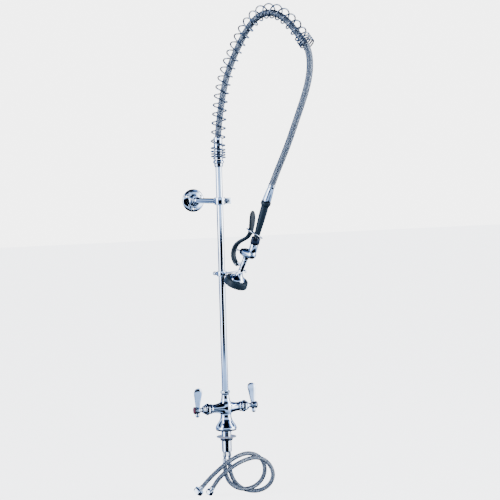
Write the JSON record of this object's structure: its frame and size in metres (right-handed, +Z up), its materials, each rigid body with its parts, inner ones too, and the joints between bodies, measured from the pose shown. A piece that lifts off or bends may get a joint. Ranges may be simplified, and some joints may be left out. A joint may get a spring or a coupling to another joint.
{
  "type": "pre rinse faucet",
  "caption": "Deck-mounted pre-rinse faucet with a sprung hose arch, squeeze spray valve, hook, wall bracket and braided supply hoses.",
  "frame": {"origin": "centre of the base on the deck, under its gasket, on the riser's axis", "axes": "+Z up the riser, -Y towards the user, +Y towards the wall, hot handle on -X"},
  "size_m": [0.248, 0.4874, 1.2907],
  "materials": {
    "chrome": "bright chrome plate",
    "dark_chrome": "darker plated metal",
    "brass": "machined brass",
    "steel": "plain stainless steel",
    "braid": "woven stainless wire",
    "slate_plastic": "slate blue-grey, satin",
    "black_rubber": "matt",
    "white_plastic": "pale translucent",
    "ceramic": "polished ceramic",
    "red_plastic": "dark red, glossy",
    "blue_plastic": "blue, glossy"
  },
  "bodies": {
    "root": {"faucet_body": "chrome", "mounting_shank": "chrome", "hot_bonnet": "chrome", "cold_bonnet": "chrome", "riser_coupling_nut": "chrome", "riser_pipe": "chrome", "spring_seat": "chrome", "hose_swage": "chrome", "riser_clamp": "chrome", "bracket_arm": "chrome", "wall_nut": "chrome", "wall_flange": "chrome", "hook_fork": "chrome", "hot_hose_sleeve": "chrome", "cold_hose_sleeve": "chrome", "hot_end_sleeve": "chrome", "cold_end_sleeve": "chrome", "hot_supply_nut": "chrome", "cold_supply_nut": "chrome", "deck_locknut": "dark_chrome", "hot_cartridge": "brass", "cold_cartridge": "brass", "hot_hose_tail": "steel", "cold_hose_tail": "steel", "clamp_screw": "steel", "hot_supply_hose": "braid", "cold_supply_hose": "braid", "base_gasket": "black_rubber", "riser_seal": "black_rubber", "deck_washer": "white_plastic"},
    "hot_handle": {"hot_handle": "chrome", "hot_handle_screw": "steel", "hot_index": "red_plastic", "hot_stem": "brass", "hot_ceramic_disc": "ceramic"},
    "cold_handle": {"cold_handle": "chrome", "cold_handle_screw": "steel", "cold_index": "blue_plastic", "cold_stem": "brass", "cold_ceramic_disc": "ceramic"},
    "spray_arch": {"arch_spring": "chrome", "prerinse_hose": "braid", "hose_ferrule": "chrome", "grip_sleeve": "slate_plastic", "grip_tube": "steel", "inlet_nut": "dark_chrome", "valve_body": "chrome", "spray_neck": "chrome", "valve_bonnet": "dark_chrome", "return_spring": "steel", "lever_pin": "steel", "spray_bell": "chrome", "bumper": "slate_plastic", "spray_face": "steel", "face_screw": "steel"},
    "squeeze_lever": {"squeeze_lever": "slate_plastic"},
    "plunger": {"plunger": "steel", "seat_washer": "black_rubber"},
    "hold_ring": {"hold_ring": "chrome"},
    "thumbscrew": {"hook_thumbscrew": "chrome"}
  },
  "joints": [
    {"name": "hot_turn", "type": "hinge", "parent": "root", "child": "hot_handle", "pos_m": [-0.081, 0, 0.06], "axis": [1, 0, 0], "range_deg": [0, 90]},
    {"name": "cold_turn", "type": "hinge", "parent": "root", "child": "cold_handle", "pos_m": [0.081, 0, 0.06], "axis": [1, 0, 0], "range_deg": [0, 90]},
    {"name": "arch_flex", "type": "hinge", "parent": "root", "child": "spray_arch", "pos_m": [0.00409, -0.00802, 0.85], "axis": [-0.891, -0.454, 0], "range_deg": [0, 25], "stiffness_Nm_per_rad": 20, "springref_deg": -11.46, "deforming": ["arch_spring", "prerinse_hose"]},
    {"name": "lever_squeeze", "type": "hinge", "parent": "spray_arch", "child": "squeeze_lever", "pos_m": [0.02452, -0.04811, 0.446], "axis": [0.891, 0.454, 0], "range_deg": [0, 5], "stiffness_Nm_per_rad": 3, "springref_deg": -5.73, "deforming": ["return_spring"]},
    {"name": "plunger_slide", "type": "slide", "parent": "spray_arch", "child": "plunger", "axis": [0.4404, -0.8644, -0.2425], "range_m": [0, 0.0033], "deforming": ["return_spring"]},
    {"name": "ring_slide", "type": "slide", "parent": "spray_arch", "child": "hold_ring", "axis": [0.167, -0.3278, 0.9298], "range_m": [0, 0.0105]},
    {"name": "thumbscrew_turn", "type": "hinge", "parent": "root", "child": "thumbscrew", "pos_m": [0, 0, 0.419], "axis": [-0.454, 0.891, 0], "continuous": true}
  ],
  "couplings": [
    {"joint": "plunger_slide", "follows": "lever_squeeze", "m_per_rad": 0.037}
  ]
}
